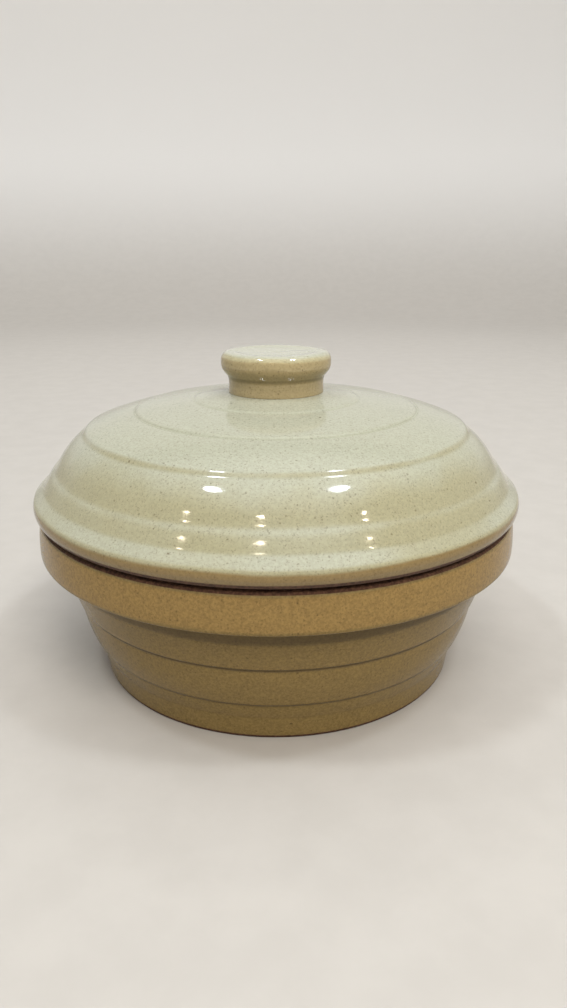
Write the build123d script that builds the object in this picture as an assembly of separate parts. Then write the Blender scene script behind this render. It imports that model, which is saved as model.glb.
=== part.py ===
from build123d import *
import os

# A lidded stoneware casserole, thrown on a wheel: every piece is a solid of revolution about Z.
# Millimetres. The origin is the centre of the foot, on the surface the pot stands on.
# Every outline runs with the clay on its right, as points (radius, height) or
# (radius, height, bulge): a bulge makes an arc, above 0 where the clay swells and
# below 0 where it is hollowed.

# --- Driving dimensions: bowl ---------------------------------------------------------------
foot_radius = 85.4           # outside of the bowl just above the table
lower_step = (90.9, 19.0)    # radius and height of the first turned step up the wall
upper_step = (96.9, 38.5)    # radius and height of the second step
collar_bottom = 60.7         # height of the sharp edge under the rim collar
collar_radius = 111.3        # rim collar at its lower edge, close to its widest
rim_height = 78.2            # flat, bare landing that the lid rests on
mouth_radius = 101.0         # inside of the rim

# --- Driving dimensions: lid ----------------------------------------------------------------
lid_edge = (111.3, 79.8)     # bottom of the lid's side, above its lip
shoulder_edge = (111.2, 86.1)  # outer edge of the rolled shelf, where the lid turns down
ridge = (103.3, 96.6)        # soft ridge round the lid's shoulder
ledge = (87.4, 114.9)        # top of the small drop between crown and shoulder
outer_ring = (64.2, 122.3)   # fine ring on the crown
inner_ring = (37.4, 126.3)   # fine ring on the crown
knob_seat_height = 129.0     # flat place on the crown where the knob is luted on

# --- Driving dimensions: knob ---------------------------------------------------------------
knob_radius = 25.4
knob_neck_radius = 21.4
knob_neck_height = 136.4
knob_top = 147.4

# --- Walls, clearances and small features ---------------------------------------------------
wall = 6.8                   # horizontal thickness of the bowl wall
lid_thickness = 7.0
floor_height = 10.0          # inside floor of the bowl
floor_flat_radius = 73.0     # the floor is flat out to here
foot_recess = 3.0            # hollow under the bowl inside its foot ring
foot_ring_width = 8.0
collar_overhang = 7.9        # how far the collar stands out from the wall below it
step_lip = 0.9               # each wall step stands proud of the tier below by this much
landing_outer_radius = 106.6  # landing ends here; outside it both lips are eased apart
lip_ease = 0.8               # how far each lip is eased away from the landing plane
ring_step = 0.4              # drop just outside each fine crown ring
ledge_drop = 2.0
flange_depth = 7.9           # how far the lid's locating flange reaches into the mouth
flange_clearance = 1.9       # radial play between flange and mouth
flange_thickness = 4.8
edge_ease = 1.0              # size of the small roundings


def turned(outline):
    """Spin a closed outline about Z."""
    with BuildPart() as part:
        with BuildSketch(Plane.XZ):
            with BuildLine():
                here = Vector(outline[0][0], outline[0][1])
                for point in outline[1:] + outline[:1]:
                    there = Vector(point[0], point[1])
                    bulge = point[2] if len(point) > 2 else 0.0
                    if bulge:
                        run = there - here
                        outward = Vector(-run.Y, run.X).normalized()
                        ThreePointArc(here, (here + there) / 2 + outward * bulge, there)
                    else:
                        Line(here, there)
                    here = there
            make_face()
        revolve(axis=Axis.Z)
    return part.part


def make_bowl():
    lower_r, lower_z = lower_step
    upper_r, upper_z = upper_step
    half_step = step_lip / 2
    under_collar_r = collar_radius - collar_overhang
    foot_inner = foot_radius - foot_ring_width
    inside = [
        (0.0, floor_height),
        (floor_flat_radius, floor_height),
        (lower_r - wall, lower_z + edge_ease, -2.6),
        (under_collar_r - wall, collar_bottom, -0.7),
        (mouth_radius - edge_ease / 2, collar_bottom + wall, -0.9),
        (mouth_radius, rim_height - edge_ease),
    ]
    rim = [
        (mouth_radius + edge_ease, rim_height, 0.3),
        (landing_outer_radius, rim_height),
        (collar_radius - 3.1, rim_height - lip_ease / 2),
        (collar_radius - 1.7, rim_height - lip_ease - 0.6, 0.15),
        (collar_radius - 0.9, rim_height - lip_ease - 2.0, 0.1),
        (collar_radius, collar_bottom + edge_ease, 0.5),
        (collar_radius - edge_ease, collar_bottom - 0.3, 0.25),
        (under_collar_r, collar_bottom - 0.6),
    ]
    tiers = [
        (upper_r, upper_z + half_step, 0.2),
        (upper_r - step_lip, upper_z - half_step),
        (lower_r, lower_z + half_step, 0.8),
        (lower_r - step_lip, lower_z - half_step),
        (foot_radius, edge_ease, 0.6),
    ]
    foot = [
        (foot_radius - 0.7, 0.0, 0.2),
        (foot_inner, 0.0),
        (foot_inner - 2.0, foot_recess),
        (0.0, foot_recess),
    ]
    return turned(inside + rim + tiers + foot)


def make_lid():
    inner_r, inner_z = inner_ring
    outer_r, outer_z = outer_ring
    ledge_r, ledge_z = ledge
    ridge_r, ridge_z = ridge
    shelf_r, shelf_z = shoulder_edge
    edge_r, edge_z = lid_edge
    flange_outer = mouth_radius - flange_clearance
    flange_inner = flange_outer - flange_thickness
    flange_bottom = rim_height - flange_depth
    flange_root = edge_z + 4.0
    crown = [
        (0.0, knob_seat_height),
        (knob_neck_radius + 0.7, knob_seat_height),
        (inner_r, inner_z),
        (inner_r + 2 * ring_step, inner_z - ring_step),
        (outer_r, outer_z, 0.25),
        (outer_r + 2 * ring_step, outer_z - ring_step),
        (ledge_r, ledge_z, 0.6),
        (ledge_r + 1.2, ledge_z - ledge_drop),
    ]
    # convex shoulder, then a soft ridge and a flatter rolled shelf with a hollow above each
    shoulder = [
        (ridge_r - 3.3, ridge_z + 4.4, 0.9),
        (ridge_r - 1.5, ridge_z + 1.6),
        (ridge_r + 0.4, ridge_z - 0.3, 0.05),
        (ridge_r + 3.8, ridge_z - 5.3),
        (ridge_r + 4.5, ridge_z - 6.2),
        (shelf_r, shelf_z + 1.1),
        (shelf_r + 0.8, shelf_z - 0.6, 0.12),
        (edge_r, edge_z, 1.0),
    ]
    seat = [
        (edge_r - 2.0, rim_height + lip_ease, 0.25),
        (landing_outer_radius, rim_height),
        (flange_outer + 0.2, rim_height),
        (flange_outer, flange_bottom + edge_ease),
        (flange_outer - edge_ease, flange_bottom, 0.3),
        (flange_inner + edge_ease, flange_bottom),
        (flange_inner, flange_bottom + edge_ease, 0.3),
        (flange_inner, flange_root),
    ]
    underside = [
        (ledge_r - 0.7 * lid_thickness, ledge_z - 0.87 * lid_thickness, -3.5),
        (inner_r, inner_z - lid_thickness, -2.0),
        (0.0, knob_seat_height - lid_thickness - 0.6),
    ]
    return turned(crown + shoulder + seat + underside)


def make_knob():
    disc = [
        (0.0, knob_top - 0.8),
        (knob_radius - 3.2, knob_top),
        (knob_radius, knob_top - 3.6, 0.9),
        (knob_neck_radius + 2.4, knob_neck_height + 2.1, 0.3),
    ]
    # the neck flows out of the disc, and its foot is luted to the lid
    neck = [
        (knob_neck_radius - 0.1, knob_neck_height - 2.0, -0.5),
        (knob_neck_radius, knob_seat_height + 1.4),
        (knob_neck_radius + 0.6, knob_seat_height, -0.15),
        (0.0, knob_seat_height),
    ]
    return turned(disc + neck)


os.makedirs("parts", exist_ok=True)
pieces = {"bowl": make_bowl(), "lid": make_lid(), "knob": make_knob()}
for name, piece in pieces.items():
    piece.label = name
    export_step(piece, f"parts/{name}.step")
    size = piece.bounding_box().size
    print(f"{name}: {piece.volume / 1000:.1f} cm3, {size.X:.1f} x {size.Y:.1f} x {size.Z:.1f} mm")
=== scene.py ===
# %% [markdown]
# # A lidded stoneware casserole
#
# This lesson builds a wheel-thrown pot in Blender: a wide bowl with a thick rim collar, a
# domed lid with stepped rings, and a disc knob. The clay is turned, so each piece is one
# outline spun about a vertical axis. What makes it look real comes after that: corners
# softened by glaze, the small unevenness of a potter's hand, a glaze that changes colour with
# the slope it lies on, partly as painted light and shade, and light that lets a glossy curve
# read as a curve.
#
# The engineering model is loaded first. It holds the size of every piece and the way the lid
# lifts, and everything below is built around it, in the same place.

# %% Load the frame
import bpy
import math
from itertools import accumulate
import numpy as np
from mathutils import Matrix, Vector, noise


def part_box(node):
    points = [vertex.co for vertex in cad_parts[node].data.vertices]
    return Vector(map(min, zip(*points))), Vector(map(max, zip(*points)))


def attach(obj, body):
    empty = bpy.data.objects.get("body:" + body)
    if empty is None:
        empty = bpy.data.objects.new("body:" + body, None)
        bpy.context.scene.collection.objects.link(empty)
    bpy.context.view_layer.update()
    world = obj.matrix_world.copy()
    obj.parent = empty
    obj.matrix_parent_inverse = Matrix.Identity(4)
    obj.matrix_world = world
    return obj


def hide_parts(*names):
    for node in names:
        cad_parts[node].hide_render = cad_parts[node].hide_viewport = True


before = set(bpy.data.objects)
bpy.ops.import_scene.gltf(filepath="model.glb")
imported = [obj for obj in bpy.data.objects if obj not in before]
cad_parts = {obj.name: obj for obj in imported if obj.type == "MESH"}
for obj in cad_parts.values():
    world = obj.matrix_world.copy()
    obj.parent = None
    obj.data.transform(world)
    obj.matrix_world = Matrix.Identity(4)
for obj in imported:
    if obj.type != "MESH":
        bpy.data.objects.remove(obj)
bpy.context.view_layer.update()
MM = 0.001  # metres in a millimetre

# %% [markdown]
# ## Sizes that come from the engineering model
#
# The pieces have to fit the model that moves them, so their sizes are read from it rather
# than typed in again. Outlines are easier to draw in millimetres, so the boxes are turned
# into millimetres here and the finished meshes are scaled back to metres.

# %% Read the landmarks
def reach(node):
    """Lowest height, highest height and largest radius of a node, in millimetres."""
    low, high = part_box(node)
    return low.z / MM, high.z / MM, max(high.x, high.y, -low.x, -low.y) / MM


table_z, rim_z, bowl_r = reach("bowl")
flange_z, seat_z, lid_r = reach("lid")
knob_foot_z, knob_top_z, knob_r = reach("knob")
print(f"rim {rim_z:.1f}  knob seat {seat_z:.1f}  top {knob_top_z:.1f}  lid radius {lid_r:.1f} mm")

# %% [markdown]
# ## Drawing an outline
#
# A potter sees a pot as half a section: from the middle outwards, over the edge and back to
# the middle. Each point of an outline below holds a radius, a height, a bulge that bends the
# line to it into an arc, a softness, and whether the surface that leads to it is glazed.
#
# A curve object could hold such an outline, but numbers in a table are easier to keep level
# with the landmarks. The table is cut into very short steps, because the next helpers work on
# small steps. A plain test cylinder shows what each helper does.

# %% Cut an outline into short steps
STEP = 0.12  # millimetres between neighbouring points
SPREAD = 3.0  # a corner's softness dies away over this many times its own size
TINY = 1e-6  # keeps a division by nothing from stopping the script


def trace(points):
    """Places (radius, height), softness and glazed share of short steps along an outline."""
    places, softness, glazed = [], [], []
    for here, there in zip(points, points[1:]):
        start, end = np.array(here[:2]), np.array(there[:2])
        bulge, glazed_share = there[2], float(there[4])
        run = end - start
        length = float(np.hypot(*run))
        count = max(2, int(length / STEP))
        t = np.linspace(0.0, 1.0, count, endpoint=False)[:, None]
        outward = np.array([-run[1], run[0]]) / max(length, TINY)
        places.append(start + run * t + outward * bulge * 4.0 * t * (1.0 - t))
        away = np.minimum(t, 1.0 - t)[:, 0] * length
        corner = np.where(t[:, 0] < 0.5, here[3], there[3])
        softness.append(corner * np.exp(-((away / (SPREAD * corner + TINY)) ** 2)))
        glazed.append(np.full(count, glazed_share))
    last = points[-1]
    places.append(np.array([last[:2]]))
    softness.append(np.array([0.0]))
    glazed.append(np.array([float(last[4])]))
    return np.concatenate(places), np.concatenate(softness), np.concatenate(glazed)


test_corner = (10.0, 10.0)
test_outline = [(0.0, 10.0, 0.0, 0.0, 1), (*test_corner, 0.0, 1.5, 1),
                (10.0, 0.0, 0.0, 0.3, 1), (0.0, 0.0, 0.0, 0.0, 0)]
test_places, test_softness, test_glazed = trace(test_outline)
print("the test cylinder's 30 mm outline is cut into", len(test_places), "points")

# %% [markdown]
# ## Corners that melted
#
# Real pots have no sharp corners. Glaze melts and pulls every edge round. A bevel would give
# each corner the same neat arc. Here each point is pulled towards its neighbours instead,
# again and again, more where the softness is larger. That is diffusion, the same thing that
# rounds the real edge, and it leaves curves with no kinks for a reflection to catch on.

# %% Soften the corners
ROUNDS = 160  # smoothing passes
STRONGEST = 0.9  # the most that one pass may pull, or the outline would shake


def soften(places, softness):
    """Diffuse the outline: a softness of s rounds a corner over about s millimetres."""
    pull = np.clip((softness / STEP) ** 2 / ROUNDS, 0.0, STRONGEST)[:, None]
    pull[0] = pull[-1] = 0.0
    for _ in range(ROUNDS):
        middle = places.copy()
        middle[1:-1] = (places[:-2] + places[2:]) / 2
        places = places + (middle - places) * pull
    places[0, 0] = places[-1, 0] = 0.0  # both ends stay on the axis
    return places


test_places = soften(test_places, test_softness)
test_gap = np.hypot(*(test_places - test_corner).T).min()
print(f"the test cylinder's soft corner drew back by {test_gap:.2f} mm")

# %% [markdown]
# ## What the glaze needs to know
#
# Molten glaze creeps away from edges, gathers in hollows, and runs off steep walls. The clay
# shows where it was wiped away. All four follow from the outline alone, so they are read off
# it here, stored on the mesh, and used by the glaze later, which also uses the slope and the
# hollows to paint light and shade. Measuring them with ambient occlusion or pointiness nodes
# would be quicker to write, but those depend on the renderer and on how fine the mesh is.
# Each mark is averaged over its neighbours, so that no finish starts with a hard line.

# %% Read edges, hollows, bare clay and slope
MARKS = ("edge", "hollow", "bare", "facing")
EDGE_FULL = 1.6  # turn per millimetre that counts as a whole edge
HOLLOW_FULL = 1.0  # the same for a hollow
NARROW, WIDE = 5, 15  # steps that a mark is averaged over


def bend(places):
    """How sharply the outline turns, per millimetre: above 0 on edges, below 0 in hollows."""
    run = np.gradient(places, axis=0)
    turn = np.gradient(run, axis=0)
    length = np.maximum(np.hypot(run[:, 0], run[:, 1]), TINY)
    return (run[:, 1] * turn[:, 0] - run[:, 0] * turn[:, 1]) / length**3


def blur(values, width):
    """Average values over width steps."""
    kernel = np.hanning(width + 2)[1:-1]
    padded = np.pad(values, width, mode="edge")
    return np.convolve(padded, kernel / kernel.sum(), mode="same")[width:-width]


def read_marks(places, glazed):
    """One row of numbers for each of the marks, in their order."""
    turning = bend(places)
    run = np.gradient(places, axis=0)
    level = run[:, 0] / np.maximum(np.hypot(run[:, 0], run[:, 1]), TINY)
    return np.stack([
        blur(np.clip(turning, 0.0, EDGE_FULL) / EDGE_FULL, NARROW),
        blur(np.clip(-turning, 0.0, HOLLOW_FULL), WIDE),
        blur(1.0 - glazed, NARROW),
        blur(level, WIDE),
    ])


test_marks = read_marks(test_places, test_glazed)
print("test cylinder's largest marks:", dict(zip(MARKS, test_marks.max(axis=1).round(2))))

# %% [markdown]
# ## Spending points where they show
#
# The short steps were needed for smoothing. A mesh that fine would be heavy, and most of it
# would lie on plain walls. So points are kept close together where the outline turns and far
# apart where it runs straight. Blender's Decimate modifier could thin the finished mesh, but
# it breaks up the clean rings that a turned pot should have.

# %% Thin out the points
EVEN_SHARE = 0.25  # what a straight stretch weighs
SHARPEST = 2.0  # turns above this count no more


def thin_out(places, count):
    """Indices of at most count points, close together where the outline turns."""
    run = np.hypot(*np.diff(places, axis=0).T)
    turn = np.clip(np.abs(bend(places)[1:]), 0.0, SHARPEST)
    weight = run * (EVEN_SHARE + turn**0.5)
    along = np.concatenate([[0.0], np.cumsum(weight)])
    wanted = np.linspace(0.0, along[-1], count)
    return np.unique(np.searchsorted(along, wanted).clip(0, len(places) - 1))


print("the test cylinder keeps", len(thin_out(test_places, 40)), "of", len(test_places), "points")

# %% [markdown]
# ## Painted shadow below an overhang
#
# Below the bowl's collar the glaze is painted darker in a band, as painted shadow where the
# collar shades the wall. It sits where the collar hangs over the wall, so the depth of that
# shelter is measured: how far out the overhang reaches, divided by how far down the point lies.
# Only overhangs a short way above count, or the whole foot of the bowl would be sheltered by
# its rim.

# %% Find the sheltered places
SHORTEST_DROP, LONGEST_DROP = 0.2, 14.0  # millimetres below the overhang
SHADOW_STARTS, SHADOW_GROWS = 0.93, 0.22  # shelter where the painted shadow begins, and how much more makes it full


def shelter(places):
    """How deep each point sits below an overhang: its reach over the drop from it."""
    out = places[None, :, 0] - places[:, None, 0]
    drop = places[None, :, 1] - places[:, None, 1]
    before = np.tri(len(places), k=-1, dtype=bool)
    near = before & (drop > SHORTEST_DROP) & (drop < LONGEST_DROP)
    return np.where(near, out / np.maximum(drop, SHORTEST_DROP), 0.0).max(axis=1)


def painted_shadow(places, depth):
    """Up to depth of painted shadow below an overhang, and 0 in the open."""
    share = np.clip((shelter(places) - SHADOW_STARTS) / SHADOW_GROWS, 0.0, 1.0)
    return depth * share * share * (3.0 - 2.0 * share)


test_shelter = shelter(test_places)
print("shelter on the test cylinder's wall:", test_shelter[len(test_places) // 2].round(2),
      " and under its base:", test_shelter.max().round(2))

# %% [markdown]
# ## The unevenness of hands
#
# A wheel makes a pot round, and hands make it a little less so. Slow waves run round the pot,
# two, three and seven to a turn, and smaller dents lie between them. It is a tenth of a
# millimetre, too little to see as a shape. It shows in the highlights, which would otherwise
# run round the pot like lines drawn with a compass. The clay is only ever pushed inwards, so
# the pot never grows past its own outline.

# %% Push the clay
WOBBLE = 0.11  # millimetres, the slow waves
LUMPS = 0.045  # millimetres, the smaller dents
DENTS_ROUND, DENTS_UP = 0.045, 0.06  # dents per millimetre, across the pot and up it
WAVES = (  # to a turn, weight, share of the start angle, drift with height, drift with radius
    (2, 1.0, 1, 0.02, 0.0),
    (3, 0.6, -1, -0.03, 0.0),
    (7, 0.3, 0, 0.0, 0.08),
)
WAVE_SUM = 1.9  # the weights added up


def hand_push(radius, height, angle, start):
    """Millimetres that the clay moves outwards here, which is never above 0."""
    slow = sum(
        weight * math.sin(waves * angle + share * start + by_height * height + by_radius * radius)
        for waves, weight, share, by_height, by_radius in WAVES)
    x, y = radius * math.cos(angle), radius * math.sin(angle)
    dent = noise.noise(Vector((x * DENTS_ROUND, y * DENTS_ROUND, height * DENTS_UP + start)))
    return WOBBLE * (slow / WAVE_SUM - 1.0) + LUMPS * (dent - 1.0)


test_pushes = [hand_push(50.0, 30.0, math.radians(turn), 0.0) for turn in range(360)]
print(f"a 50 mm ring is pushed by {min(test_pushes):.2f} to {max(test_pushes):.2f} mm")

# %% [markdown]
# ## Rings into a mesh
#
# A turned shape is a stack of rings, and neighbouring rings are joined with four-sided faces.
# A ring on the axis is a single point, so there the faces are triangles. The Screw modifier
# does the same, but its rings are all perfect circles, with no room for the push of hands.

# %% Join rings
def ring_faces(rings):
    """Faces between neighbouring rings of places. A ring of one place closes an end."""
    starts = [0, *accumulate(len(ring) for ring in rings)]
    faces = []
    for upper, lower, a, b in zip(rings, rings[1:], starts, starts[1:]):
        count = max(len(upper), len(lower))
        for k in range(count):
            after = (k + 1) % count
            if len(upper) == 1:
                faces.append((a, b + k, b + after))
            elif len(lower) == 1:
                faces.append((a + k, b, a + after))
            else:
                faces.append((a + k, b + k, b + after, a + after))
    return faces


def join_rings(name, rings):
    """A smooth object made of rings of places."""
    mesh = bpy.data.meshes.new(name)
    mesh.from_pydata([place for ring in rings for place in ring], [], ring_faces(rings))
    mesh.shade_smooth()
    mesh.update()
    made = bpy.data.objects.new(name, mesh)
    bpy.context.scene.collection.objects.link(made)
    print(f"{name}: {len(mesh.vertices)} vertices, {len(mesh.polygons)} faces")
    return made


print("a point and two rings of 4 need", len(ring_faces([[0], [0] * 4, [0] * 4])), "faces")

# %% [markdown]
# ## Spinning an outline
#
# This puts the helpers together, in the order of the work: cut, soften, mark, thin out, then
# push and turn. Where two pieces must fit, the clay has to stay true, so each piece brings a
# function that says how steady it is at a radius and a height: 1 holds still, 0 is free.

# %% Spin an outline
SEGMENTS = 288  # places in a ring
FULL_TURN = 2 * math.pi
NAME_TURN = 1.7  # radians per letter of a name, so that the pieces' waves don't line up


def fade(distance, over):
    """0 up to a distance of 0, and 1 from over onwards."""
    return min(max(distance / over, 0.0), 1.0)


def turned_ring(radius, height, normal, free, start):
    """The places round one ring, in metres, each moved along the normal by the hands."""
    if radius <= TINY:
        return [(0.0, 0.0, height * MM)]
    ring = []
    for angle in np.arange(SEGMENTS) * (FULL_TURN / SEGMENTS):
        push = free * hand_push(radius, height, angle, start)
        r, z = radius + normal[0] * push, height + normal[1] * push
        ring.append((r * math.cos(angle) * MM, r * math.sin(angle) * MM, z * MM))
    return ring


def spin(name, points, count, steady, shadow_depth=0.0):
    """A closed, marked mesh turned about Z from an outline."""
    places, softness, glazed = trace(points)
    places = soften(places, softness)
    keep = thin_out(places, count)
    marks = dict(zip(MARKS, read_marks(places, glazed)[:, keep]))
    places = places[keep]
    # Painted shadow below an overhang joins the hollow mark, so the glaze paints it with the dark
    # hollow colour.
    marks["hollow"] = np.maximum(marks["hollow"], painted_shadow(places, shadow_depth))

    run = np.gradient(places, axis=0)
    normals = np.stack([-run[:, 1], run[:, 0]], 1) / np.hypot(run[:, 0], run[:, 1])[:, None]
    start = (len(name) * NAME_TURN) % FULL_TURN
    rings = [turned_ring(radius, height, normal, 1.0 - steady(radius, height), start)
             for (radius, height), normal in zip(places, normals)]
    piece = join_rings(name, rings)
    for label, values in marks.items():
        layer = piece.data.attributes.new(label, "FLOAT", "POINT")
        per_place = np.repeat(values, [len(ring) for ring in rings])
        layer.data.foreach_set("value", per_place.astype(np.float32))
    return piece


print("a ring has a place every", 360 / SEGMENTS, "degrees")

# %% [markdown]
# ## The bowl
#
# The bowl starts at the middle of its inside floor. The wall sweeps up to the mouth, crosses
# the flat landing that carries the lid, and turns down over a thick collar with a sharp
# undercut edge. Below it the wall falls in three tiers. Each tier ends in a small lip that
# stands proud of the next, and the fine dark lines round the pot are the shade below each lip,
# deepened by painted shade in the glaze colour. The landing and the foot ring are wiped clean
# before firing, or the glaze would weld them to the lid and to the kiln shelf, so they stay
# bare clay.
#
# Boolean cuts could make the tiers. In one outline they stay part of the same skin of glaze,
# and every step keeps its own softness.

# %% Draw the bowl
wall = 6.8
floor_z = table_z + 10.0
foot_r = bowl_r - 26.0
recess_z = table_z + 3.0
tier_1 = (bowl_r - 14.5, rim_z - 39.7)
tier_2 = (bowl_r - 20.5, rim_z - 59.2)
collar_z = rim_z - 17.5
under_collar_r = bowl_r - 8.0
landing_r = bowl_r - 4.8
bowl_outline = [
    # radius, height, bulge, softness, glazed
    # the floor, the inside wall and the mouth
    (0.0, floor_z, 0.0, 0.0, 1),
    (bowl_r - 38.4, floor_z, 0.0, 4.0, 1),
    (tier_2[0] - wall, tier_2[1] + 1.0, -2.6, 4.0, 1),
    (under_collar_r - wall, collar_z, -0.7, 3.0, 1),
    (bowl_r - 10.9, collar_z + wall, -0.9, 2.0, 1),
    (bowl_r - 10.4, rim_z - 1.0, 0.0, 0.5, 1),
    (bowl_r - 9.4, rim_z, 0.3, 0.3, 1),
    # the bare landing and its worn outer edge
    (landing_r, rim_z, 0.0, 0.2, 0),
    (bowl_r - 3.1, rim_z - 0.5, 0.0, 0.3, 0),
    (bowl_r - 1.7, rim_z - 1.5, 0.2, 0.5, 0),
    (bowl_r - 1.0, rim_z - 3.0, 0.2, 0.9, 0.6),
    # the collar and its undercut
    (bowl_r - 0.1, collar_z + 1.1, 0.35, 0.5, 1),
    (bowl_r - 1.1, collar_z - 0.3, 0.25, 0.4, 1),
    (under_collar_r, collar_z - 0.6, 0.0, 1.5, 1),
    # the three tiers
    (tier_1[0], tier_1[1] + 0.4, 0.2, 0.15, 1),
    (tier_1[0] - 1.2, tier_1[1] - 0.6, 0.0, 0.7, 1),
    (tier_2[0], tier_2[1] + 0.4, 0.8, 0.15, 1),
    (tier_2[0] - 1.2, tier_2[1] - 0.6, 0.0, 0.7, 1),
    (bowl_r - 24.3, table_z + 11.1, 0.2, 0.5, 1),
    (bowl_r - 24.45, table_z + 10.7, 0.0, 0.5, 1),
    # the foot ring and the recess inside it
    (foot_r, table_z + 1.4, 0.05, 0.5, 1),
    (foot_r - 0.8, table_z, 0.2, 0.3, 0),
    (foot_r - 8.0, table_z, 0.0, 0.4, 0),
    (foot_r - 10.0, recess_z, 0.0, 0.6, 0),
    (0.0, recess_z, 0.0, 0.0, 0),
]
print("bowl outline:", len(bowl_outline), "points, landing", round(landing_r, 1), "mm out")

# %% [markdown]
# The bowl is turned and takes the place of its engineering model, which stays behind it for
# the physics. It rides on the body of the same name.

# %% Turn the bowl
def bowl_steady(radius, height):
    """The mouth, the landing and the foot stay true, so the lid fits and the bowl stands."""
    near_rim = fade(height - (rim_z - 9.0), over=6.0)
    near_foot = fade(table_z + 5.0 - height, over=4.0)
    return max(near_rim, near_foot)


# The bowl gets a band of painted shadow below its collar.
bowl = spin("bowl_glazed", bowl_outline, 280, bowl_steady, shadow_depth=0.33)
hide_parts("bowl")
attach(bowl, "bowl")
print("bowl:", tuple(round(v, 4) for v in bowl.dimensions), "m")

# %% [markdown]
# ## The lid
#
# The lid reads as a set of bands. Two fine rings cross the crown, then the surface drops over
# a small ledge into the shoulder. Lower down it rises into a soft ridge, hollows again, and
# flares into a rolled shelf before it turns down. The slopes matter more than the heights
# here: a glossy band is bright where it faces up at the light and dark where it faces out.
# Underneath, a short flange drops into the mouth of the bowl and keeps the lid in place.

# %% Draw the lid
flange_r = bowl_r - 12.3
flange_inside_r = flange_r - 4.8
ridge_r, ridge_z = lid_r - 9.4, seat_z - 32.4
shelf_r, shelf_z = lid_r - 1.5, seat_z - 42.9
ledge_r, ledge_z = lid_r - 25.3, seat_z - 14.1
ring_1 = (lid_r - 75.3, seat_z - 2.7)
ring_2 = (lid_r - 48.5, seat_z - 6.7)
lid_outline = [
    # radius, height, bulge, softness, glazed
    # the seat of the knob and the crown with its two rings
    (0.0, seat_z, 0.0, 0.0, 0),
    (knob_r - 5.0, seat_z, 0.0, 0.5, 1),
    (ring_1[0], ring_1[1], 0.0, 0.4, 1),
    (ring_1[0] + 0.8, ring_1[1] - 0.5, 0.0, 0.5, 1),
    (ring_2[0], ring_2[1], 0.25, 0.45, 1),
    (ring_2[0] + 0.8, ring_2[1] - 0.8, 0.0, 0.5, 1),
    # the ledge and the shoulder below it
    (ledge_r - 0.2, ledge_z + 0.1, 0.6, 0.8, 1),
    (ledge_r + 1.4, ledge_z - 2.0, 0.0, 0.5, 1),
    (ridge_r - 3.3, ridge_z + 4.4, 0.85, 0.8, 1),
    # the soft ridge and the hollow after it
    (ridge_r - 1.5, ridge_z + 1.6, 0.0, 0.7, 1),
    (ridge_r + 0.4, ridge_z - 0.3, 0.05, 0.8, 1),
    (ridge_r + 3.8, ridge_z - 5.3, 0.04, 0.6, 1),
    (ridge_r + 4.5, ridge_z - 6.2, -0.05, 0.4, 1),
    # the rolled shelf and the outer edge
    (shelf_r, shelf_z + 1.1, 0.0, 0.4, 1),
    (shelf_r + 1.1, shelf_z - 0.6, 0.15, 0.45, 1),
    (lid_r - 0.6, rim_z + 2.8, 0.4, 0.3, 1),
    # the bare lip and the landing that rests on the bowl
    (lid_r - 1.1, rim_z + 2.1, 0.0, 0.5, 0),
    (lid_r - 1.9, rim_z + 1.2, 0.1, 0.4, 0),
    (lid_r - 3.6, rim_z + 0.75, 0.1, 0.3, 0),
    (landing_r - 2.6, rim_z + 0.3, 0.0, 0.2, 0),
    (landing_r - 3.2, rim_z, 0.0, 0.15, 0),
    # the flange
    (flange_r + 0.2, rim_z, 0.0, 0.2, 0),
    (flange_r, flange_z + 1.0, 0.0, 0.4, 0),
    (flange_r - 1.0, flange_z, 0.3, 0.4, 0),
    (flange_r - 3.8, flange_z, 0.0, 0.4, 0),
    (flange_inside_r, flange_z + 1.0, 0.3, 0.4, 1),
    # the domed underside
    (flange_inside_r, rim_z + 5.6, 0.0, 2.0, 1),
    (ledge_r - 4.9, ledge_z - 6.1, -3.5, 3.0, 1),
    (ring_1[0], ring_1[1] - 7.0, -2.0, 3.0, 1),
    (0.0, seat_z - 7.6, 0.0, 0.0, 1),
]
print("lid outline:", len(lid_outline), "points, flange", round(flange_r, 1), "mm out")

# %% [markdown]
# The lid is turned in the same way, and rides on its own body, which lifts straight up. The
# lip, the flange and the seat of the knob are the places that have to stay true.

# %% Turn the lid
def lid_steady(radius, height):
    """The lip, the landing, the flange and the knob seat stay true."""
    near_lip = fade(rim_z + 4.0 - height, over=3.0)
    near_knob = fade(knob_r + 4.0 - radius, over=4.0)
    return max(near_lip, near_knob)


lid = spin("lid_glazed", lid_outline, 290, lid_steady)
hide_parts("lid")
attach(lid, "lid")
print("lid:", tuple(round(v, 4) for v in lid.dimensions), "m")

# %% [markdown]
# ## The knob
#
# The knob is a thick disc on a short neck, thrown by itself and stuck to the lid with slip.
# Its top is dished a little, its edge is soft enough for fingers, and the underside flows
# into the neck in one S-shaped curve. It rides with the lid. It could be part of the lid's
# outline, but a real one is a second lump of clay, and the thin seam at its foot shows it.

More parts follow.
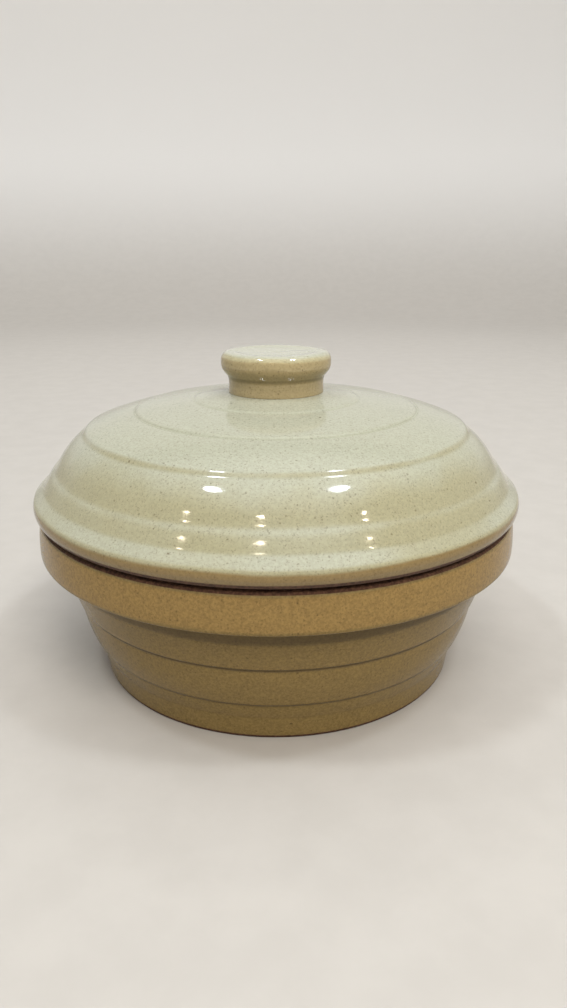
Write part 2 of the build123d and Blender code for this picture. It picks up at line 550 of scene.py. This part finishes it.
# %% Turn the knob
neck_r = knob_r - 4.0
sunk_z = knob_foot_z - 0.3  # just inside the lid, so that no light shows through the seam
knob_outline = [
    # radius, height, bulge, softness, glazed
    # the dished top
    (0.0, knob_top_z - 0.7, 0.0, 0.0, 1),
    (knob_r - 10.0, knob_top_z - 0.55, 0.0, 1.5, 1),
    (knob_r - 6.0, knob_top_z, 0.0, 1.5, 1),
    # the round edge
    (knob_r - 2.0, knob_top_z - 0.25, 0.0, 0.6, 1),
    (knob_r - 0.35, knob_top_z - 2.2, 0.05, 0.6, 1),
    (knob_r, knob_top_z - 4.6, 0.1, 0.8, 1),
    (knob_r - 0.2, knob_top_z - 7.7, 0.1, 0.9, 1),
    # the underside, the neck and the foot
    (knob_r - 2.2, knob_top_z - 10.2, 0.1, 0.9, 1),
    (neck_r + 0.7, knob_foot_z + 6.6, -0.12, 0.8, 1),
    (neck_r + 0.5, knob_foot_z + 2.4, 0.0, 0.8, 1),
    (neck_r + 0.6, sunk_z, 0.0, 0.2, 1),
    (0.0, sunk_z, 0.0, 0.0, 0),
]


def knob_steady(radius, height):
    """Only the foot stays true, so that it sits on its seat."""
    return fade(knob_foot_z + 3.0 - height, over=2.0)


knob = spin("knob_glazed", knob_outline, 150, knob_steady)
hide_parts("knob")
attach(knob, "lid")
print("knob:", tuple(round(v, 4) for v in knob.dimensions), "m")

# %% [markdown]
# ## Glaze
#
# One glaze covers the pot, and it does several things at once. Where it lies level it stays
# thick and fires a cloudy green. Where it runs off, on walls and edges, the iron in the clay
# burns through as tan. The colours also carry painted light: level surfaces are painted paler,
# as lit from above and mirroring a bright ceiling, and walls and undersides darker and tanner,
# as in shade, with darker painted shade in creases and below the bowl's collar. Grains of iron
# rise out of the clay as brown specks. The lid and the knob fire glossy, and the bowl a little
# more satin.
#
# A flat colour with a noise mixed in would look like painted plastic. So the colour follows
# the marks on the mesh, and noise only breaks it up. One small helper keeps the node code
# readable: it makes a node, fills in its inputs and returns what comes out.

# %% Node helper
def srgb(red, green, blue):
    """A colour given as it looks on screen, 0 to 255, in the linear numbers a shader needs."""
    parts = [value / 255 for value in (red, green, blue)]
    linear = [p / 12.92 if p <= 0.04045 else ((p + 0.055) / 1.055) ** 2.4 for p in parts]
    return (*linear, 1.0)


class Wiring:
    """Makes and links the nodes of one material or world."""

    MIX_SOCKETS = {"RGBA": (6, 7, 2), "FLOAT": (2, 3, 0)}  # first, second, result

    def __init__(self, owner):
        owner.use_nodes = True
        self.tree = owner.node_tree
        self.tree.nodes.clear()

    def node(self, kind, settings=None, **inputs):
        """A node with its settings and inputs. An underscore in an input's name is a space."""
        made = self.tree.nodes.new(kind)
        for key, value in (settings or {}).items():
            setattr(made, key, value)
        for key, value in inputs.items():
            self.put(made, key.replace("_", " "), value)
        return made

    def put(self, node, key, value):
        """Link value to an input if it comes from a node, or else type it in."""
        socket = node.inputs[key]
        if isinstance(value, bpy.types.NodeSocket):
            self.tree.links.new(value, socket)
        else:
            socket.default_value = value

    def mark(self, label):
        """A number that the mesh carries."""
        return self.node("ShaderNodeAttribute", {"attribute_name": label}).outputs["Fac"]

    def place(self, which="Object"):
        """Where a point is."""
        return self.node("ShaderNodeTexCoord").outputs[which]

    def maths(self, operation, first, second):
        """Arithmetic on two numbers."""
        made = self.node("ShaderNodeMath", {"operation": operation})
        self.put(made, 0, first)
        self.put(made, 1, second)
        return made.outputs[0]

    def ramp(self, value, low, high, out_low=0.0, out_high=1.0, how="SMOOTHSTEP"):
        """out_low up to low, out_high from high onwards, and smooth between."""
        made = self.node("ShaderNodeMapRange", {"interpolation_type": how}, Value=value,
                         From_Min=low, From_Max=high, To_Min=out_low, To_Max=out_high)
        return made.outputs["Result"]

    def blend(self, share, first, second, kind="RGBA", how="MIX"):
        """A share of second over first, for colours or for plain numbers."""
        made = self.node("ShaderNodeMix", {"data_type": kind, "blend_type": how})
        first_in, second_in, out = self.MIX_SOCKETS[kind]
        for key, value in ((0, share), (first_in, first), (second_in, second)):
            self.put(made, key, value)
        return made.outputs[out]

    def cloud(self, where, scale, detail=2.0, roughness=0.5):
        """Noise with scale lumps to a metre."""
        made = self.node("ShaderNodeTexNoise", Vector=where, Scale=scale, Detail=detail,
                         Roughness=roughness)
        return made.outputs["Fac"]


print("middle grey on screen is", round(srgb(128, 128, 128)[0], 3), "to a shader")

# %% [markdown]
# ### Colour by slope
#
# The main colour is picked by how the surface lies, from overhanging to level, with clouds
# that drift across the borders. That is partly the glaze's own change with slope and partly
# painted light: paler towards level, as under light from above, and darker towards
# overhanging, as in shade. Edges then go thin, and hollows take a colour that is partly thick
# glaze and partly painted shade, dark on the bowl and the knob. Blending one colour over the
# last is like dipping a pot again and again, and it keeps each border separate.

# %% Colour by slope
CLOUDS = (18.0, 3.0, 0.55)  # lumps to a metre, detail, roughness
# These colours partly paint light: paler towards level, as lit from above, and darker towards
# overhanging, as in shade.
SLOPES = (  # colour, and the slopes between which it takes over: 0 is upright, 1 is level
    ("upright", -0.14, -0.03),
    ("sloping", 0.20, 0.48),
    ("lying", 0.52, 0.86),
)
THIN_SHARE, POOL_AND_SHADE_SHARE = 0.6, 0.8  # how much of the edge and hollow colours shows


def slope_colour_and_painted_light(w, spot, marks, batch):
    """The glaze's colour before anything is scattered in it, with painted light and shade by slope
    and in hollows.
    """
    drift = w.ramp(w.cloud(spot, *CLOUDS), 0.25, 0.75, -batch["drift"], batch["drift"])
    lie = w.maths("ADD", marks["facing"], drift)
    colour = batch["under"]
    for label, starts, full in SLOPES:
        colour = w.blend(w.ramp(lie, starts, full), colour, batch[label])
    thinned = w.ramp(marks["edge"], 0.15, 0.80, 0.0, THIN_SHARE)
    colour = w.blend(thinned, colour, batch["thin"])
    # Hollows take the hollow colour, which on the bowl and the knob is dark painted shade.
    thickened = w.ramp(marks["hollow"], 0.05, 0.50, 0.0, POOL_AND_SHADE_SHARE)
    return w.blend(thickened, colour, batch["thick"])


print("slope colours:", ["under", *(label for label, _, _ in SLOPES)])

# %% [markdown]
# ### Oatmeal and iron
#
# Close up, the glaze is mottled like oatmeal, in lumps of about a millimetre, laid over the
# colour so that light parts get lighter and dark parts darker. Over that lies the iron: a
# fine pepper of noise, then three sizes of grain from Voronoi cells. Each cell holds a grain
# only if its random number is high, so the grains are unevenly scattered. Noise pushes the
# cells about first, because real grains are ragged and plain cells would give round dots.

# %% Oatmeal and iron
OATS = (900.0, 3.0, 0.6)  # lumps to a metre, detail, roughness
OAT_DARK, OAT_PALE = srgb(172, 172, 168), srgb(204, 204, 200)
PEPPER, PEPPER_STRENGTH = (1500.0, 1.0), 0.30
RAGGED_SCALE, RAGGED_PUSH = 1300.0, 0.0011  # lumps to a metre, metres
GRAINS = (  # cells to a metre, share of the cells left empty, radius in cells, strength
    (1000.0, 0.25, 0.24, 0.30),
    (480.0, 0.45, 0.17, 0.44),
    (160.0, 0.66, 0.08, 0.62),
)


def scatter(w, spot, colour, batch):
    """Lay oatmeal mottling and iron specks over a colour."""
    oat = w.blend(w.ramp(w.cloud(spot, *OATS), 0.3, 0.7), OAT_DARK, OAT_PALE)
    colour = w.blend(batch["oatmeal"], colour, oat, how="OVERLAY")
    pepper = w.ramp(w.cloud(spot, *PEPPER), 0.60, 0.74, 0.0, PEPPER_STRENGTH)
    colour = w.blend(pepper, colour, batch["iron"])

    ragged = w.node("ShaderNodeTexNoise", Vector=spot, Scale=RAGGED_SCALE, Detail=2.0)
    pushed = w.node("ShaderNodeVectorMath", {"operation": "MULTIPLY_ADD"})
    for key, value in enumerate((ragged.outputs["Color"], (RAGGED_PUSH,) * 3, spot)):
        w.put(pushed, key, value)
    for scale, empty, size, strength in GRAINS:
        cells = w.node("ShaderNodeTexVoronoi", {"feature": "F1"}, Vector=pushed.outputs[0],
                       Scale=scale, Randomness=1.0)
        draw = w.node("ShaderNodeSeparateColor", Color=cells.outputs["Color"]).outputs["Red"]
        radius = w.ramp(draw, empty, empty + 0.3, -size, size)
        inside = w.maths("SUBTRACT", radius, cells.outputs["Distance"])
        speck = w.ramp(inside, -0.5 * size, 0.4 * size, 0.0, strength)
        colour = w.blend(speck, colour, batch["iron"])
    return colour


print("grain radii:", [round(size / scale / MM, 2) for scale, _, size, _ in GRAINS], "mm")

# %% [markdown]
# ### Bare clay, sheen and ripple
#
# Where the glaze was wiped off, the clay fired to a dark red-brown with grit in it. It has no
# gloss. The glaze itself is glossy on the open surface and duller where it pooled or where it
# pulled thin over an edge. Under the gloss runs a faint orange-peel ripple, which is what
# makes a highlight shimmer at its border. Ripple and grit are far too small to model, so a
# Bump node carries them: a hundredth of a millimetre in the glaze, up to a fifth in the clay.

# %% Bare clay, sheen and ripple
GROG = (700.0, 4.0, 0.7)  # lumps to a metre, detail, roughness
CLAY_DARK, CLAY_PALE, CLAY_ROUGH = srgb(64, 44, 34), srgb(102, 74, 57), 0.82
WIPED = (0.35, 0.65)  # the bare mark between which glaze gives way to clay
POOL_DULL = 0.4  # roughness that a pool adds
UNEVEN_SHEEN = 0.05  # roughness that comes and goes over the open surface
RIPPLE_HEIGHT, GRIT_HEIGHT, BUMP_DEPTH = 0.2, 4.0, 0.00005


def wipe(w, colour, bare, grog):
    """Clay in place of the glaze where it is bare."""
    clay = w.blend(w.ramp(grog, 0.35, 0.70), CLAY_DARK, CLAY_PALE)
    return w.blend(w.ramp(bare, *WIPED), colour, clay)


def sheen(w, spot, marks, batch):
    """Roughness: low on open glaze, higher in pools and on dry edges, highest on clay."""
    pooled = w.ramp(marks["hollow"], 0.1, 0.6, 0.0, POOL_DULL)
    dried = w.ramp(marks["edge"], 0.35, 0.8, 0.0, batch["dry"])
    uneven = w.ramp(w.cloud(spot, 60.0, 3.0), 0.3, 0.7,
                    batch["gloss"], batch["gloss"] + UNEVEN_SHEEN)
    glazed = w.maths("ADD", uneven, w.maths("ADD", pooled, dried))
    return w.blend(w.ramp(marks["bare"], *WIPED), glazed, CLAY_ROUGH, kind="FLOAT")


def relief(w, spot, bare, grog):
    """Orange-peel ripple in the glaze, and grit in the bare clay."""
    ripple = w.maths("MULTIPLY", w.cloud(spot, 220.0, 2.0, 0.4),
                     w.ramp(bare, *WIPED, RIPPLE_HEIGHT, 0.0))
    grit = w.maths("MULTIPLY", grog, w.ramp(bare, *WIPED, 0.0, GRIT_HEIGHT))
    bump = w.node("ShaderNodeBump", Height=w.maths("ADD", ripple, grit), Strength=1.0,
                  Distance=BUMP_DEPTH)
    return bump.outputs["Normal"]


print(f"grit stands up to {GRIT_HEIGHT * BUMP_DEPTH / MM:.2f} mm proud")

# %% [markdown]
# ### The recipe
#
# The whole finish is one function, because bowl, lid and knob were dipped in the same bucket.
# Each piece gets its own batch of numbers: how thick the glaze lies, how far the clouds drift
# and how glossy it fired. Everything that differs over the surface goes through nodes, and
# what is the same everywhere is typed straight into the shader.

# %% Glaze recipe
GLAZE_IOR = 1.52  # glass, which is what a glaze is


def glaze(piece, name, **batch):
    """Give a piece its own batch of the glaze."""
    material = bpy.data.materials.new(name)
    w = Wiring(material)
    spot = w.place()
    marks = {label: w.mark(label) for label in MARKS}
    grog = w.cloud(spot, *GROG)
    colour = scatter(w, spot, slope_colour_and_painted_light(w, spot, marks, batch), batch)
    shader = w.node(
        "ShaderNodeBsdfPrincipled",
        Base_Color=wipe(w, colour, marks["bare"], grog),
        Roughness=sheen(w, spot, marks, batch),
        IOR=GLAZE_IOR,
        Specular_IOR_Level=batch["level"],
        Normal=relief(w, spot, marks["bare"], grog),
    )
    w.node("ShaderNodeOutputMaterial", Surface=shader.outputs["BSDF"])
    piece.data.materials.append(material)
    print(f"{name}: {len(material.node_tree.nodes)} nodes")


print(f"glaze mirrors {((GLAZE_IOR - 1) / (GLAZE_IOR + 1)) ** 2:.1%} of the light head on")

# %% [markdown]
# The lid lies open to the kiln and comes out greenest, and being mostly level it also takes
# the paler painted light. The bowl's walls stand upright, so the glaze runs thin and the iron
# shows: it is tan all over, painted darker as in shade, with a band of painted shadow below
# the collar, and it is strongly mottled. The knob is the palest of the three.

# %% Glaze the pieces
# The hollow colour is pooled glaze on the lid and dark painted shade on the bowl and the knob: in
# the creases under the tier lips, under the knob's disc, and below the bowl's collar.
glaze(lid, "lid_glaze", drift=0.10, gloss=0.06, level=0.5, dry=0.0, oatmeal=0.40,
      iron=srgb(84, 67, 42), lying=srgb(167, 167, 149), sloping=srgb(158, 153, 124),
      upright=srgb(131, 110, 71), under=srgb(128, 110, 76), thin=srgb(178, 167, 136),
      thick=srgb(148, 149, 126))
glaze(bowl, "bowl_glaze", drift=0.03, gloss=0.20, level=0.2, dry=0.25, oatmeal=0.85,
      iron=srgb(50, 37, 22), lying=srgb(166, 166, 142), sloping=srgb(130, 112, 74),
      upright=srgb(140, 114, 69), under=srgb(129, 108, 66), thin=srgb(132, 107, 65),
      thick=srgb(58, 46, 32))
glaze(knob, "knob_glaze", drift=0.14, gloss=0.06, level=0.5, dry=0.0, oatmeal=0.40,
      iron=srgb(84, 67, 42), lying=srgb(174, 174, 156), sloping=srgb(174, 165, 132),
      upright=srgb(168, 152, 114), under=srgb(156, 139, 100), thin=srgb(172, 158, 122),
      thick=srgb(88, 77, 44))
print("glazed:", [piece.name for piece in (lid, bowl, knob)])

# %% [markdown]
# ## The set
#
# The pot stands on a wide sheet of pale paper that curves up far away on every side, as in a
# studio. A flat floor and a wall would meet in a line behind the pot. Here the sheet is one
# more turned shape, so there is no line, and it is wide enough for a camera to go round
# inside it. It is open at the top so that light can come in.

# %% Floor and backdrop
FLAT_R, BEND_R, WALL_Z = 1.7, 0.9, 2.2  # metres
BEND_STEPS, PAPER_SEGMENTS = 12, 96


def paper_outline():
    """Radius and height of the sheet, from its middle to its upper edge."""
    line = [(0.0, 0.0), (0.6, 0.0), (FLAT_R, 0.0)]
    for k in range(1, BEND_STEPS + 1):
        turn = k / BEND_STEPS * math.pi / 2
        line.append((FLAT_R + BEND_R * math.sin(turn), BEND_R * (1 - math.cos(turn))))
    line.append((FLAT_R + BEND_R, WALL_Z))
    return line


def paper_ring(radius, height):
    """The places round one ring of the sheet."""
    if radius == 0.0:
        return [(0.0, 0.0, height)]
    angles = [k * FULL_TURN / PAPER_SEGMENTS for k in range(PAPER_SEGMENTS)]
    return [(radius * math.cos(angle), radius * math.sin(angle), height) for angle in angles]


paper = join_rings("paper_sweep", [paper_ring(*place) for place in paper_outline()])
print("paper sweep:", tuple(round(v, 2) for v in paper.dimensions), "m")

# %% [markdown]
# The paper is nearly one colour, with faint fibre in it. It is darker on the floor than where
# it rises, so that the glossy pot does not mirror a glaring floor.

# %% Paper finish
FIBRE = (40.0, 4.0, 0.6)  # lumps to a metre, detail, roughness
FLOOR_DARK, FLOOR_PALE, WALL_PALE = srgb(184, 179, 172), srgb(188, 183, 176), srgb(231, 229, 226)

pale_paper = bpy.data.materials.new("pale_paper")
w = Wiring(pale_paper)
floor_tone = w.blend(w.ramp(w.cloud(w.place(), *FIBRE), 0.3, 0.7), FLOOR_DARK, FLOOR_PALE)
paper_height = w.node("ShaderNodeSeparateXYZ", Vector=w.place()).outputs["Z"]
paper_tone = w.blend(w.ramp(paper_height, 0.0, 0.5), floor_tone, WALL_PALE)
matt = w.node("ShaderNodeBsdfPrincipled", Base_Color=paper_tone, Roughness=0.75)
w.node("ShaderNodeOutputMaterial", Surface=matt.outputs["BSDF"])
paper.data.materials.append(pale_paper)
print("pale_paper:", len(pale_paper.node_tree.nodes), "nodes")

# %% [markdown]
# ## Lamps
#
# Most of the light falls from a large soft panel overhead and a smaller one in front, and a
# third, behind, is turned away to wash the paper. These three are kept out of reflections,
# because a glossy pot would show their outlines. Two small cool panels give the pairs of
# white highlights on the shoulder, and three little warm lamps lower down give the small
# golden ones. They stay in the reflections, as that is all they are for.
#
# Each lamp is placed by a compass angle and a height angle seen from the pot, then turned to
# face it. Angles are the easy way here, because a highlight moves with its lamp's angle.

# %% Lamp helper
scene = bpy.context.scene
pot_middle = Vector((0.0, 0.0, rim_z * MM))
FAR, NEAR = 1.9, 1.6  # metres from the pot
COOL, WARM = (0.86, 0.93, 1.0), (1.0, 0.86, 0.66)
NEUTRAL, CREAM = (1.0, 0.98, 0.95), (1.0, 0.95, 0.88)


def lamp(name, compass, climb, distance, width, depth, watts, colour):
    """An oval panel at compass degrees from the front, clockwise seen from above, and climb up."""
    data = bpy.data.lights.new(name, "AREA")
    data.shape = "ELLIPSE"
    data.size, data.size_y = width, depth
    data.energy, data.color = watts, colour
    made = bpy.data.objects.new(name, data)
    around, up = math.radians(compass), math.radians(climb)
    level = math.cos(up)
    direction = Vector((-math.sin(around) * level, -math.cos(around) * level, math.sin(up)))
    made.location = pot_middle + direction * distance
    made.rotation_euler = (-direction).to_track_quat("-Z", "Y").to_euler()
    scene.collection.objects.link(made)
    return made


print("the lamps look at", tuple(round(v, 3) for v in pot_middle))

# %% [markdown]
# The soft panels are large and weak, and the highlight lamps small and weaker still, because
# all they have to do is show in the glaze.

# %% Place the lamps
overhead = lamp("overhead", -20, 72, FAR, 1.4, 1.4, 10.0, NEUTRAL)
front_fill = lamp("front_fill", -19, 45, FAR, 0.9, 0.5, 18.0, CREAM)
wall_wash = lamp("wall_wash", 176, 62, NEAR, 1.8, 0.6, 10.5, NEUTRAL)
wall_wash.rotation_euler = (math.radians(52), 0.0, 0.0)  # turned away, to the paper behind
for soft in (overhead, front_fill, wall_wash):
    soft.visible_glossy = False
for side, compass in (("left", 62), ("right", -62)):
    lamp(f"cool_{side}", compass, 65.5, NEAR, 0.21, 0.15, 5.0, COOL)
for side, compass in (("left", 50), ("right", -48)):
    lamp(f"warm_{side}", compass, 39.3, NEAR, 0.045, 0.025, 0.4, WARM)
lamp("warm_middle", 9, 45, NEAR, 0.08, 0.04, 0.7, WARM)

# %% [markdown]
# ## Sky
#
# The glaze mirrors whatever is above it, so the sky is a soft dome: dim near the horizon and
# bright overhead, like a room under a pale ceiling, and a little darker to the left. A plain
# grey sky would make the crown look flat. A picture of a room would do this too, but two
# ramps are enough, and they can be read.

# %% Sky
world = bpy.data.worlds.new("studio_air")
scene.world = world
sky = Wiring(world)
way = sky.node("ShaderNodeSeparateXYZ", Vector=sky.place("Generated"))
ceiling = sky.ramp(way.outputs["Z"], 0.64, 0.90, 0.24, 1.3)
lean = sky.ramp(way.outputs["X"], -0.8, 0.6, 0.6, 1.0, how="LINEAR")
air = sky.node("ShaderNodeBackground", Color=srgb(236, 240, 244),
               Strength=sky.maths("MULTIPLY", ceiling, lean))
sky.node("ShaderNodeOutputWorld", Surface=air.outputs["Background"])
scene.view_settings.view_transform = "Standard"
print("studio_air:", len(world.node_tree.nodes), "nodes")

# %% [markdown]
# ## Camera
#
# The pot is seen from a little above, close up, with a wide lens, as by someone sitting at
# the table. A close wide view makes the near rim large and opens the ellipses of the rings,
# so the distance matters as much as the angle.

# %% Place the camera
camera_data = bpy.data.cameras.new("camera")
camera_data.sensor_width = 36.0  # millimetres
camera_data.lens = 27.04  # millimetres
camera = bpy.data.objects.new("camera", camera_data)
scene.collection.objects.link(camera)
camera.location = (0.0, -0.3499, 0.1919)
tilt_down, turn_right, roll = 18.76, 0.587, 0.156  # degrees
camera.rotation_euler = [math.radians(angle) for angle in (90 - tilt_down, roll, -turn_right)]
scene.camera = camera
print("camera at", tuple(round(v, 4) for v in camera.location))

# %% [markdown]
# ## Finish
#
# The last step updates the scene and hands it over.

# %% Finish
bpy.context.view_layer.update()
